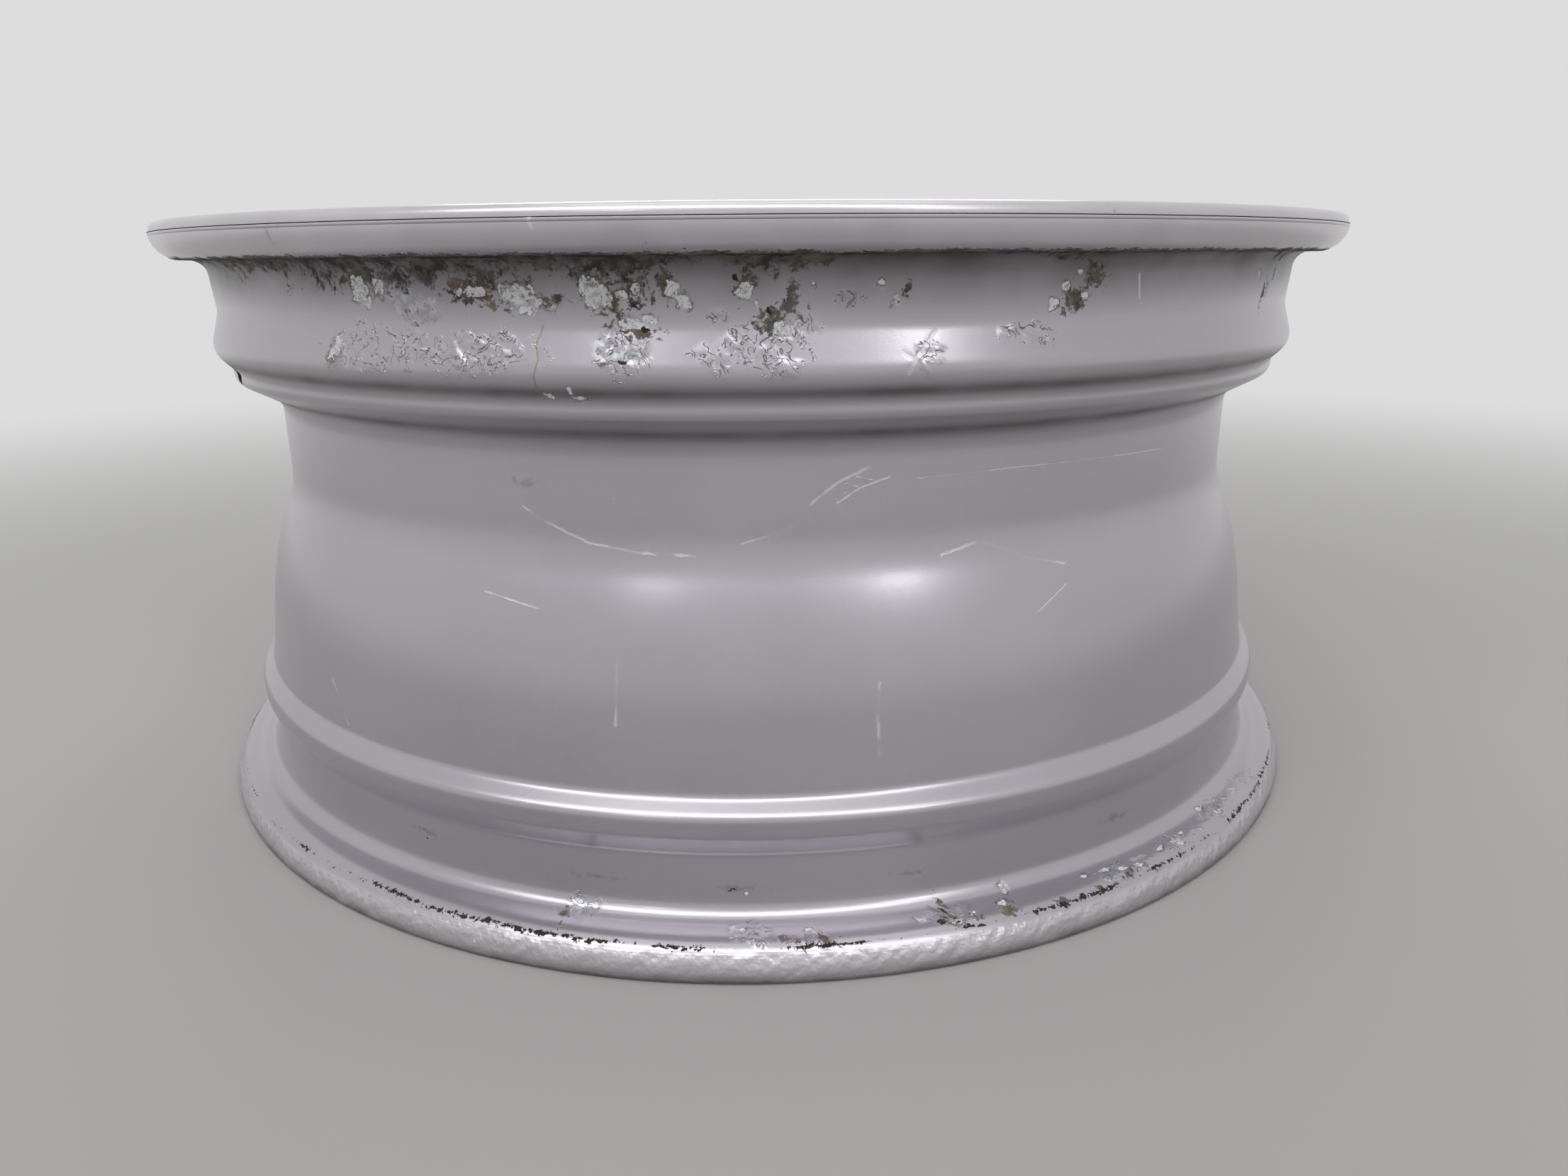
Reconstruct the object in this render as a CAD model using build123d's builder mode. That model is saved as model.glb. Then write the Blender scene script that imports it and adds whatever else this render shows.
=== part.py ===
from build123d import *
from math import cos, radians, sin, tan
import os

# Cast alloy road wheel of 18 inch diameter and 8 inch width, flange contour J, in millimetres.
# It lies on its inboard flange with the face up: Z is the wheel's axis, pointing outboard,
# and Z = 0 is the surface that it lies on.
# Inboard means the side towards the vehicle, which is down, and outboard is up.

# Rim: bead seats and flanges
bead_seat_diameter = 462.0
rim_width = 203.2
flange_height = 17.5
flange_width = 12.9
flange_round = 9.5
heel_round = 6.0
seat_angle = 5.0
lip_step_depth = 0.4
lip_step_drop = 4.8
lip_edge_round = 3.0
lip_width = 8.0
foot_chamfer = 1.0

# Rim: outboard hump, shoulder and drop centre, measured inward from the outboard bead face.
# A run is the share of the well's lower slope that the round at its end takes.
outboard_seat_width = 19.1
outboard_hump_width = 14.4
outboard_hump_rise = 4.1
outboard_hump_round = 8.0
shoulder_depth = 4.2
shoulder_drop = 40.1
shoulder_width = 4.8
shoulder_round = 4.0
well_depth = 20.3
well_start = 53.8
well_end = 89.9
well_top_round = 8.0
well_bottom_run = 0.25

# Rim: barrel and inboard hump
barrel_break_drop = 116.2
barrel_break_depth = 9.1
barrel_run = 0.74
barrel_foot_depth = 3.4
ledge_rise_start = 40.5
ledge_rise_end = 35.8
ledge_foot_round = 3.0
inboard_hump_rise = 2.1
inboard_hump_start = 29.1
inboard_hump_round = 4.0
inboard_seat_width = 21.1

# Rim: walls on the side that faces the brake
barrel_wall = 5.2
well_wall = 5.4
shoulder_wall = 7.0
seat_wall = 6.4
rim_front_drop = 7.5
rim_front_round = 5.0
lip_slope_drop = 5.0
lip_slope_width = 3.5
flange_foot_width = 12.0
flange_chamfer_height = 9.5

# Centre: hub, mounting pad and bores
wheel_offset = 40.0
hub_thickness = 45.0
bore_chamfer = 1.5
stud_count = 5
stud_circle = 114.3
bore_to_stud_circle = 20.6
centre_bore_depth = 24.0
cap_bore_step = 4.55
stud_hole_diameter = 14.5
nut_seat_angle = 60.0
nut_seat_diameter = 23.0
stud_hole_land = 9.0
nut_pocket_diameter = 30.0
stud_boss_diameter = 34.0
stud_boss_overhang = 3.5
pad_edge_width = 7.35
pad_pocket_depth = 12.0
pad_pocket_round = 3.0

# Centre: spokes
spoke_count = 5
spoke_width_hub = 54.0
spoke_width_rim = 42.0
spoke_crown = 4.6
spoke_arch = 14.0
pad_step = 4.0
window_hub_gap = 14.0
window_rim_overlap = 3.0
window_hub_round = 11.0
window_rim_round = 16.0
spoke_edge_chamfer = 2.0
spoke_wall = 8.5
spoke_skin = 9.5
spoke_pocket_hub_gap = 18.0
spoke_pocket_rim_gap = 23.8
spoke_pocket_round = 6.0

# Valve hole
valve_hole_diameter = 8.3
valve_hole_chamfer = 0.8
valve_angle = 212.0
valve_tilt = 30.0
valve_drop = 39.8
valve_plane_rise = 0.5
valve_seat_diameter = 17.0
valve_drill_length = 60.0

# How far solids run into each other, how far cores run past the surface they open at,
# and how near to each other two heights or radii count as the same
rim_overlap = 2.0
core_overrun = 5.0
near = 0.01

# Worked out from the sizes above
seat_r = bead_seat_diameter / 2
flange_r = seat_r + flange_height
total_width = rim_width + 2 * flange_width
inboard_face_z = flange_width
outboard_face_z = flange_width + rim_width
pad_z = flange_width + rim_width / 2 + wheel_offset
hub_front_z = pad_z + hub_thickness
rim_front_z = total_width - rim_front_drop
shoulder_r = seat_r - shoulder_depth
well_r = seat_r - well_depth
barrel_break_r = seat_r - barrel_break_depth
barrel_foot_r = seat_r - barrel_foot_depth
inboard_hump_r = seat_r + inboard_hump_rise
window_wall_r = shoulder_r - shoulder_wall
stud_circle_r = stud_circle / 2
centre_bore_r = stud_circle_r - bore_to_stud_circle
cap_bore_r = centre_bore_r - cap_bore_step
stud_boss_r = stud_boss_diameter / 2
pad_pocket_inner_r = stud_circle_r - stud_boss_r + stud_boss_overhang
pad_pocket_outer_r = stud_circle_r + stud_boss_r - stud_boss_overhang
hub_edge_r = pad_pocket_outer_r + pad_edge_width
window_inner_r = hub_edge_r + window_hub_gap
window_outer_r = window_wall_r + window_rim_overlap
window_middle_r = (window_inner_r + window_outer_r) / 2
spoke_pocket_inner_r = hub_edge_r + spoke_pocket_hub_gap
spoke_pocket_outer_r = window_wall_r - spoke_pocket_rim_gap
well_inner_r = well_r - well_wall
well_floor_z = outboard_face_z - well_start + well_wall
rim_front_r = seat_r - shoulder_wall + rim_overlap
core_bottom_z = pad_z - core_overrun
nut_seat_height = (nut_seat_diameter - stud_hole_diameter) / 2 / tan(radians(nut_seat_angle / 2))
nut_pocket_floor_z = pad_z + stud_hole_land + nut_seat_height
pitch = 360 / spoke_count
first_spoke_angle = valve_angle + pitch / 2

# The valve hole's plane, square to the wall that it goes through
valve_direction = Vector(cos(radians(valve_angle)), sin(radians(valve_angle)), 0)
valve_normal = valve_direction * cos(radians(valve_tilt)) - Vector(0, 0, sin(radians(valve_tilt)))
valve_centre = valve_direction * (shoulder_r + valve_plane_rise) + Vector(0, 0, outboard_face_z - valve_drop)
valve_plane = Plane(origin=valve_centre, z_dir=valve_normal)


def seat_radius(distance):
    """Radius of the tapered bead seat at a distance from its bead face."""
    return seat_r - distance * tan(radians(seat_angle))


def round_taking(run, before, corner, after):
    """Radius of the round at a corner whose tangents are run millimetres long."""
    back = Vector(before) - Vector(corner)
    ahead = Vector(after) - Vector(corner)
    return run * tan(radians(back.get_angle(ahead)) / 2)


def section(corners):
    """Closed outline with a round of its own at each corner, from (radius, height, round)."""
    FilletPolyline(
        *[(r, z) for r, z, _ in corners],
        radius=[rounding for _, _, rounding in corners],
        close=True,
    )


# The rounds at both ends of the slope below the well, each as long as its share of the slope
well_top_corner = (well_r, outboard_face_z - well_start)
well_corner = (well_r, outboard_face_z - well_end)
barrel_corner = (barrel_break_r, outboard_face_z - barrel_break_drop)
barrel_foot_corner = (barrel_foot_r, inboard_face_z + ledge_rise_start)
well_slope = (Vector(barrel_corner) - Vector(well_corner)).length
well_bottom_round = round_taking(well_bottom_run * well_slope, well_top_corner, well_corner, barrel_corner)
barrel_round = round_taking(barrel_run * well_slope, well_corner, barrel_corner, barrel_foot_corner)

# The rim's section: the tyre's side from the outboard lip down, then the brake's side back up
outboard_hump_base = seat_radius(outboard_seat_width)
tyre_side = [
    (flange_r, total_width, 0),
    (flange_r, outboard_face_z, flange_round),
    (seat_r, outboard_face_z, heel_round),
    (outboard_hump_base, outboard_face_z - outboard_seat_width, outboard_hump_round),
    (
        outboard_hump_base + outboard_hump_rise,
        outboard_face_z - outboard_seat_width - outboard_hump_width,
        outboard_hump_round,
    ),
    (shoulder_r, outboard_face_z - shoulder_drop, shoulder_round),
    (shoulder_r, outboard_face_z - shoulder_drop - shoulder_width, shoulder_round),
    (*well_top_corner, well_top_round),
    (*well_corner, well_bottom_round),
    (*barrel_corner, barrel_round),
    (*barrel_foot_corner, ledge_foot_round),
    (inboard_hump_r, inboard_face_z + ledge_rise_end, inboard_hump_round),
    (inboard_hump_r, inboard_face_z + inboard_hump_start, inboard_hump_round),
    (seat_radius(inboard_seat_width), inboard_face_z + inboard_seat_width, inboard_hump_round),
    (seat_r, inboard_face_z, heel_round),
    (flange_r, inboard_face_z, flange_round),
    (flange_r, foot_chamfer, 0),
    (flange_r - foot_chamfer, 0, 0),
]
brake_side = [
    (flange_r - flange_foot_width, 0, 0),
    (seat_r - seat_wall, flange_chamfer_height, 0),
    (barrel_foot_r - barrel_wall, inboard_face_z + ledge_rise_start, 0),
    (barrel_break_r - barrel_wall, outboard_face_z - barrel_break_drop, 0),
    (well_inner_r, outboard_face_z - well_end, 0),
    (well_inner_r, well_floor_z, 0),
    (window_wall_r, outboard_face_z - shoulder_drop, 0),
    (seat_r - shoulder_wall, rim_front_z, rim_front_round),
    (flange_r - lip_width - lip_slope_width, total_width - lip_slope_drop, 0),
    (flange_r - lip_width, total_width, 0),
]


# The centre's section: the crowned front of the spokes, the rim's wall, and the arched back
def centre_outline():
    """Closed outline of the centre, from the hub's front to the mounting face."""
    spoke_front = (rim_front_r, rim_front_z)
    spoke_foot = (well_inner_r + rim_overlap, well_floor_z)
    arch_end = (hub_edge_r + pad_step, pad_z + pad_pocket_depth)
    SagittaArc((hub_edge_r, hub_front_z), spoke_front, spoke_crown)
    Polyline(
        spoke_front,
        (window_wall_r + rim_overlap, outboard_face_z - shoulder_drop),
        spoke_foot,
    )
    SagittaArc(spoke_foot, arch_end, spoke_arch)
    Polyline(
        arch_end,
        (hub_edge_r, pad_z),
        (cap_bore_r, pad_z),
        (cap_bore_r, hub_front_z),
        (hub_edge_r, hub_front_z),
    )


def core_outline():
    """Section of the cores in the spokes' backs, a skin's thickness below the crowned front."""
    SagittaArc(
        (hub_edge_r, hub_front_z - spoke_skin), (rim_front_r, rim_front_z - spoke_skin), spoke_crown
    )
    Polyline(
        (rim_front_r, rim_front_z - spoke_skin),
        (rim_front_r, core_bottom_z),
        (hub_edge_r, core_bottom_z),
        (hub_edge_r, hub_front_z - spoke_skin),
    )


def spoke_outline(width_hub, width_rim, start_r, end_r, mode=Mode.ADD):
    """Tapered strip along X between two radii, given its widths at the hub's edge and at the rim."""
    slope = (width_rim - width_hub) / (seat_r - hub_edge_r) / 2
    start_half = width_hub / 2 + slope * (start_r - hub_edge_r)
    end_half = width_hub / 2 + slope * (end_r - hub_edge_r)
    Polygon(
        (start_r, -start_half),
        (end_r, -end_half),
        (end_r, end_half),
        (start_r, start_half),
        align=None,
        mode=mode,
    )


def beyond(radius):
    """Filter for vertices further from the axis than a radius."""
    return lambda vertex: Vector(vertex.X, vertex.Y).length > radius


def within(radius):
    """Filter for vertices nearer to the axis than a radius."""
    return lambda vertex: Vector(vertex.X, vertex.Y).length < radius


# Cores that the moulding leaves in the backs of the spokes
with BuildPart() as spoke_core:
    with BuildSketch(Plane.XY.offset(core_bottom_z)) as core_plan:
        with PolarLocations(0, spoke_count, start_angle=first_spoke_angle):
            spoke_outline(
                spoke_width_hub - 2 * spoke_wall,
                spoke_width_rim - 2 * spoke_wall,
                spoke_pocket_inner_r,
                spoke_pocket_outer_r,
            )
        fillet(core_plan.vertices(), spoke_pocket_round)
    extrude(amount=total_width - core_bottom_z)
    with BuildSketch(Plane.XZ):
        with BuildLine():
            core_outline()
        make_face()
    revolve(axis=Axis.Z, mode=Mode.INTERSECT)

with BuildPart() as wheel:
    # Solid of the centre
    with BuildSketch(Plane.XZ):
        with BuildLine():
            centre_outline()
        make_face()
    revolve(axis=Axis.Z)

    # Windows between the spokes, cut from the front
    with BuildSketch(Plane.XY.offset(total_width)) as windows:
        Circle(window_outer_r)
        Circle(window_inner_r, mode=Mode.SUBTRACT)
        with PolarLocations(0, spoke_count, start_angle=first_spoke_angle):
            spoke_outline(
                spoke_width_hub, spoke_width_rim, window_inner_r / 2, flange_r, mode=Mode.SUBTRACT
            )
        fillet(windows.vertices().filter_by(within(window_middle_r)), window_hub_round)
        fillet(windows.vertices().filter_by(beyond(window_middle_r)), window_rim_round)
    extrude(amount=-total_width / 2, mode=Mode.SUBTRACT)
    front_edges = wheel.edges(Select.LAST).filter_by(
        lambda edge: edge.bounding_box().min.Z > hub_front_z
        and edge.bounding_box().max.X - edge.bounding_box().min.X < seat_r
    )
    chamfer(front_edges, spoke_edge_chamfer)

    # Hollow backs of the spokes
    add(spoke_core.part, mode=Mode.SUBTRACT)

    # Nut pockets with conical seats, and the stud holes below them
    with Locations(Plane.XY.offset(hub_front_z)):
        with PolarLocations(stud_circle_r, stud_count, start_angle=valve_angle):
            CounterBoreHole(
                stud_hole_diameter / 2, nut_pocket_diameter / 2, hub_front_z - nut_pocket_floor_z
            )
    with Locations(Plane.XY.offset(nut_pocket_floor_z)):
        with PolarLocations(stud_circle_r, stud_count, start_angle=valve_angle):
            CounterSinkHole(
                stud_hole_diameter / 2,
                nut_seat_diameter / 2,
                counter_sink_angle=nut_seat_angle,
            )

    # Pockets in the mounting face between the stud bosses
    with BuildSketch(Plane.XY.offset(pad_z)) as pad_pockets:
        Circle(pad_pocket_outer_r)
        Circle(pad_pocket_inner_r, mode=Mode.SUBTRACT)
        with PolarLocations(stud_circle_r, stud_count, start_angle=valve_angle):
            Circle(stud_boss_r, mode=Mode.SUBTRACT)
        fillet(pad_pockets.vertices(), pad_pocket_round)
    extrude(amount=pad_pocket_depth, mode=Mode.SUBTRACT)

    # Centre bore, wider behind to sit on the vehicle's hub
    with Locations(Plane.XY.offset(pad_z)):
        Cylinder(
            centre_bore_r,
            centre_bore_depth,
            align=(Align.CENTER, Align.CENTER, Align.MIN),
            mode=Mode.SUBTRACT,
        )
    bore_edges = wheel.edges().filter_by(GeomType.CIRCLE).filter_by(
        lambda edge: (abs(edge.arc_center.Z - pad_z) < near and abs(edge.radius - centre_bore_r) < near)
        or (abs(edge.arc_center.Z - hub_front_z) < near and abs(edge.radius - cap_bore_r) < near)
    )
    chamfer(bore_edges, bore_chamfer)

    # Rim
    with BuildSketch(Plane.XZ) as rim_section:
        with BuildLine():
            section(tyre_side + brake_side)
        make_face()
        with Locations((flange_r, total_width)):
            Rectangle(2 * lip_step_depth, 2 * lip_step_drop, mode=Mode.SUBTRACT)
        lip_corner = rim_section.vertices().sort_by(lambda vertex: vertex.X + vertex.Y)[-1]
        fillet(lip_corner, lip_edge_round)
    revolve(axis=Axis.Z)

    # Valve hole, square to the wall below the outboard hump, with a spot face on the brake's side
    with Locations(valve_plane):
        Cylinder(valve_hole_diameter / 2, valve_drill_length, mode=Mode.SUBTRACT)
        Cone(
            valve_hole_diameter / 2,
            valve_hole_diameter / 2 + valve_hole_chamfer,
            valve_hole_chamfer,
            align=(Align.CENTER, Align.CENTER, Align.MAX),
            mode=Mode.SUBTRACT,
        )
    with Locations(valve_plane.offset(-shoulder_wall)):
        Cylinder(
            valve_seat_diameter / 2,
            valve_drill_length / 2,
            align=(Align.CENTER, Align.CENTER, Align.MAX),
            mode=Mode.SUBTRACT,
        )

os.makedirs("parts", exist_ok=True)
wheel.part.label = "wheel"
export_step(wheel.part, "parts/wheel.step")
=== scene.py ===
from math import atan2, ceil, cos, radians, sin, tan

import bpy
import bmesh
import numpy as np
from mathutils import Matrix, Vector


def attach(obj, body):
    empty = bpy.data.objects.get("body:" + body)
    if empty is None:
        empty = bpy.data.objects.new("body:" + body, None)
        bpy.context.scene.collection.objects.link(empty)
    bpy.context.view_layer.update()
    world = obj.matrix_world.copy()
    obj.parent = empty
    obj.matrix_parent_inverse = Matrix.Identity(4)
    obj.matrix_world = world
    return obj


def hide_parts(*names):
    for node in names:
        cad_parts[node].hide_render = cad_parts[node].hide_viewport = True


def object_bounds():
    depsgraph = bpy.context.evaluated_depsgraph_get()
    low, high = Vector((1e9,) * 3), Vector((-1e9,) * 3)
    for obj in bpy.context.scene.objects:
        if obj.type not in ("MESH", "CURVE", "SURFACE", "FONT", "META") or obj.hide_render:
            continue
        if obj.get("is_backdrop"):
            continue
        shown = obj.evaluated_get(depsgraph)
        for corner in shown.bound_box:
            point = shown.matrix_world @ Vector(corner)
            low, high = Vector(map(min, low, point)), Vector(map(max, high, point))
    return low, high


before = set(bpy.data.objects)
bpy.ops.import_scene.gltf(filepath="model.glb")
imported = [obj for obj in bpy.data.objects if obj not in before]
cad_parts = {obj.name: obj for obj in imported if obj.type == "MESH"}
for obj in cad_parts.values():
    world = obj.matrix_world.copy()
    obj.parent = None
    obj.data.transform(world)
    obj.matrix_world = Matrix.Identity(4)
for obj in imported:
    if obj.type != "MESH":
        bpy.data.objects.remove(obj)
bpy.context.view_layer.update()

# An alloy wheel lying on its inboard flange. Lengths are in millimetres up to the meshes, which are
# in metres. An azimuth is in degrees round the wheel's axis from the camera's side, positive to the
# right. A path is the distance down the tyre's side of the rim from the outboard lip's inner edge.
MM = 0.001

# Sizes of the rim, the same as the solid's: seats, flanges, lip and foot
SEAT_R = 231.0
RIM_WIDTH = 203.2
FLANGE_HEIGHT = 17.5
FLANGE_WIDTH = 12.9
FLANGE_ROUND = 9.5
HEEL_ROUND = 6.0
SEAT_SLOPE = tan(radians(5.0))
LIP_WIDTH = 8.0
LIP_STEP_DEPTH = 0.4
LIP_STEP_DROP = 4.8
LIP_EDGE_ROUND = 3.0
FOOT_CHAMFER = 1.0
FOOT_WIDTH = 12.0

# Outboard hump, shoulder, drop centre and the barrel's break, by their drop from the outboard face
OUTBOARD_SEAT_WIDTH = 19.1
OUTBOARD_HUMP_WIDTH = 14.4
OUTBOARD_HUMP_RISE = 4.1
OUTBOARD_HUMP_ROUND = 8.0
SHOULDER_DEPTH = 4.2
SHOULDER_DROP = 40.1
SHOULDER_WIDTH = 4.8
SHOULDER_ROUND = 4.0
WELL_DEPTH = 20.3
WELL_START = 53.8
WELL_END = 89.9
WELL_TOP_ROUND = 8.0
WELL_BOTTOM_ROUND = 36.0
BREAK_DEPTH = 9.1
BREAK_DROP = 116.2
BREAK_ROUND = 150.0

# Barrel's foot, ledge and inboard hump, by their rise over the inboard face
BARREL_FOOT_DEPTH = 3.4
LEDGE_RISE_START = 40.5
LEDGE_RISE_END = 35.8
LEDGE_FOOT_ROUND = 3.0
INBOARD_HUMP_RISE = 2.1
INBOARD_HUMP_START = 29.1
INBOARD_HUMP_ROUND = 4.0
INBOARD_SEAT_WIDTH = 21.1

# Worked out from the sizes above
FLANGE_R = SEAT_R + FLANGE_HEIGHT
TOTAL_WIDTH = RIM_WIDTH + 2 * FLANGE_WIDTH
OUTBOARD_FACE = FLANGE_WIDTH + RIM_WIDTH
INBOARD_FACE = FLANGE_WIDTH
LIP_R = FLANGE_R - LIP_STEP_DEPTH
SHOULDER_R = SEAT_R - SHOULDER_DEPTH
WELL_R = SEAT_R - WELL_DEPTH
INBOARD_HUMP_R = SEAT_R + INBOARD_HUMP_RISE
OUTBOARD_BASE_R = SEAT_R - OUTBOARD_SEAT_WIDTH * SEAT_SLOPE
OUTBOARD_HUMP_R = OUTBOARD_BASE_R + OUTBOARD_HUMP_RISE
OUTBOARD_SEAT_Z = OUTBOARD_FACE - OUTBOARD_SEAT_WIDTH

# Where the tyre's side is divided into its four pieces, and how finely each is meshed
BAND_ENDS = (66.0, 207.0, 248.0)
FINE_STEP = 0.82
BARREL_STEP = 1.9
FINE_BELOW_HUMP = 84.0
FRONT_HALF_ANGLE = 98.0
FRONT_STEP = 0.25
REAR_STEP = 0.5
ARC_RADIUS = 240.0
OUTLINE_STEP = 0.2

# Valve hole, as in the solid
VALVE_AZIMUTH = -58.0
VALVE_TILT = 30.0
VALVE_RADIUS = 227.3
VALVE_HEIGHT = 176.3
VALVE_MOUTH_R = 4.75
VALVE_WALL = 9.0
VALVE_MOUTH_DEPTH = 6.0

# The rim's corners on the tyre's side: radius, height and round
CORNERS = [
    (FLANGE_R - LIP_WIDTH, TOTAL_WIDTH, 0),
    (LIP_R, TOTAL_WIDTH, LIP_EDGE_ROUND),
    (LIP_R, TOTAL_WIDTH - LIP_STEP_DROP, 0),
    (FLANGE_R, TOTAL_WIDTH - LIP_STEP_DROP, 0),
    (FLANGE_R, OUTBOARD_FACE, FLANGE_ROUND),
    (SEAT_R, OUTBOARD_FACE, HEEL_ROUND),
    (OUTBOARD_BASE_R, OUTBOARD_SEAT_Z, OUTBOARD_HUMP_ROUND),
    (OUTBOARD_HUMP_R, OUTBOARD_SEAT_Z - OUTBOARD_HUMP_WIDTH, OUTBOARD_HUMP_ROUND),
    (SHOULDER_R, OUTBOARD_FACE - SHOULDER_DROP, SHOULDER_ROUND),
    (SHOULDER_R, OUTBOARD_FACE - SHOULDER_DROP - SHOULDER_WIDTH, SHOULDER_ROUND),
    (WELL_R, OUTBOARD_FACE - WELL_START, WELL_TOP_ROUND),
    (WELL_R, OUTBOARD_FACE - WELL_END, WELL_BOTTOM_ROUND),
    (SEAT_R - BREAK_DEPTH, OUTBOARD_FACE - BREAK_DROP, BREAK_ROUND),
    (SEAT_R - BARREL_FOOT_DEPTH, INBOARD_FACE + LEDGE_RISE_START, LEDGE_FOOT_ROUND),
    (INBOARD_HUMP_R, INBOARD_FACE + LEDGE_RISE_END, INBOARD_HUMP_ROUND),
    (INBOARD_HUMP_R, INBOARD_FACE + INBOARD_HUMP_START, INBOARD_HUMP_ROUND),
    (SEAT_R - INBOARD_SEAT_WIDTH * SEAT_SLOPE, INBOARD_FACE + INBOARD_SEAT_WIDTH, INBOARD_HUMP_ROUND),
    (SEAT_R, INBOARD_FACE, HEEL_ROUND),
    (FLANGE_R, INBOARD_FACE, FLANGE_ROUND),
    (FLANGE_R, FOOT_CHAMFER, 0),
    (FLANGE_R - FOOT_CHAMFER, 0.0, 0),
    (FLANGE_R - FOOT_WIDTH, 0.0, 0),
]

# Wear, as soft ellipses: azimuth, path, half width, half height in millimetres, and tilt in degrees
BARE = [
    (-16.5, 45.0, 4.2, 3.2, 10),
    (-17.6, 43.6, 2.0, 2.4, 0),
    (-20.0, 43.0, 2.8, 1.4, 0),
    (-21.4, 43.6, 1.3, 0.9, 0),
    (-15.2, 45.6, 1.4, 0.9, 0),
    (-14.2, 46.6, 1.2, 1.0, 0),
    (-30.6, 43.0, 3.8, 3.2, 20),
    (-28.6, 42.6, 2.4, 2.2, 0),
    (-30.0, 46.8, 1.4, 1.6, 0),
    (-33.6, 60.0, 2.6, 2.8, 30),
    (-10.9, 44.5, 3.3, 3.1, 0),
    (-11.9, 41.6, 1.0, 2.2, 0),
    (-9.1, 44.6, 1.7, 1.3, 0),
    (-8.2, 43.6, 1.4, 1.8, 0),
    (-8.6, 52.0, 2.7, 2.3, 20),
    (-7.3, 50.8, 1.8, 1.8, 0),
    (-5.7, 42.6, 1.3, 2.4, -25),
    (-4.9, 46.3, 1.9, 2.4, -25),
    (-0.7, 43.0, 1.9, 2.5, 0),
    (0.1, 46.0, 0.9, 1.6, 0),
    (1.9, 53.5, 2.7, 1.8, 10),
    (2.8, 52.2, 1.1, 1.2, 0),
    (3.9, 41.8, 0.9, 1.3, 0),
    (8.4, 41.6, 0.9, 1.2, 0),
    (9.7, 46.4, 1.2, 1.7, 20),
    (23.9, 39.2, 2.0, 1.7, 0),
    (22.6, 43.6, 1.7, 2.1, 20),
    (24.5, 46.2, 1.3, 1.5, 0),
    (21.8, 48.2, 1.4, 1.3, 0),
    (48.0, 41.0, 1.0, 2.6, 0),
    (50.4, 46.0, 1.2, 2.6, 0),
    (27.0, 257.0, 2.2, 0.9, -10),
    (29.3, 257.4, 1.8, 0.8, 20),
    (30.7, 259.4, 2.2, 0.8, 40),
    (32.5, 261.5, 2.6, 0.9, 10),
    (35.9, 259.5, 2.6, 0.9, -20),
    (38.0, 260.5, 2.4, 1.0, 30),
    (39.6, 258.4, 2.0, 0.8, -30),
    (45.0, 254.0, 2.0, 1.0, 10),
    (46.0, 260.0, 1.8, 1.2, 0),
    (48.4, 258.0, 2.0, 0.9, 40),
    (19.6, 253.4, 1.1, 1.8, 0),
    (18.9, 258.0, 2.4, 1.3, 0),
    (14.6, 262.6, 2.0, 0.8, 10),
    (11.8, 259.0, 2.2, 0.6, 35),
    (16.2, 260.2, 2.0, 0.7, -20),
    (3.3, 259.0, 1.5, 1.2, 20),
    (-1.9, 258.0, 1.2, 0.9, 0),
    (-0.7, 259.4, 1.3, 0.8, 0),
    (-1.4, 244.4, 0.9, 0.8, 0),
    (-13.4, 71.4, 0.9, 1.8, 0),
    (-12.9, 74.6, 1.9, 0.8, 0),
    (-15.2, 73.6, 1.6, 1.0, 30),
]
RAW_METAL = [
    (-10.5, 57.6, 2.2, 3.4, 25),
    (-9.6, 61.6, 3.6, 1.8, 0),
    (-8.0, 61.8, 2.8, 1.2, 0),
    (-14.9, 252.4, 3.4, 3.0, 0),
    (-14.0, 250.8, 1.6, 1.4, 0),
    (-2.4, 257.6, 1.3, 2.4, 0),
    (-0.9, 259.6, 1.9, 1.0, 0),
    (15.0, 259.6, 3.0, 1.2, 20),
    (28.8, 261.0, 3.2, 1.8, 0),
    (33.0, 258.6, 3.8, 1.6, 10),
    (38.6, 259.2, 3.0, 1.8, 0),
    (44.0, 257.8, 3.6, 1.6, 0),
    (50.5, 259.6, 2.6, 2.0, 0),
]
RUST = [
    (-21.6, 41.2, 3.0, 2.2, 0),
    (-18.8, 46.8, 1.8, 1.6, 0),
    (-10.6, 48.6, 1.6, 1.0, 0),
    (-8.0, 54.6, 3.0, 1.1, 0),
    (-9.8, 52.0, 0.9, 1.4, 0),
    (0.4, 49.6, 1.5, 1.3, 0),
    (1.7, 51.0, 1.4, 1.1, 0),
    (2.9, 50.6, 1.3, 1.1, 0),
    (3.6, 47.4, 0.8, 1.6, 0),
    (-19.4, 61.8, 1.2, 0.8, 0),
    (22.9, 9.3, 0.9, 0.6, 0),
    (32.4, 13.2, 0.9, 0.6, 0),
    (18.7, 262.0, 2.6, 2.6, 0),
    (16.6, 262.6, 1.2, 1.2, 0),
    (2.2, 262.4, 2.2, 1.6, 0),
    (4.6, 263.6, 2.4, 1.2, 0),
    (-15.8, 261.0, 1.2, 2.0, 30),
    (-33.8, 24.6, 1.2, 1.6, 0),
    (-18.4, 114.7, 0.7, 0.5, 0),
    (-15.6, 115.2, 0.6, 0.5, 0),
    (-12.6, 115.7, 0.7, 0.5, 0),
]
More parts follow.
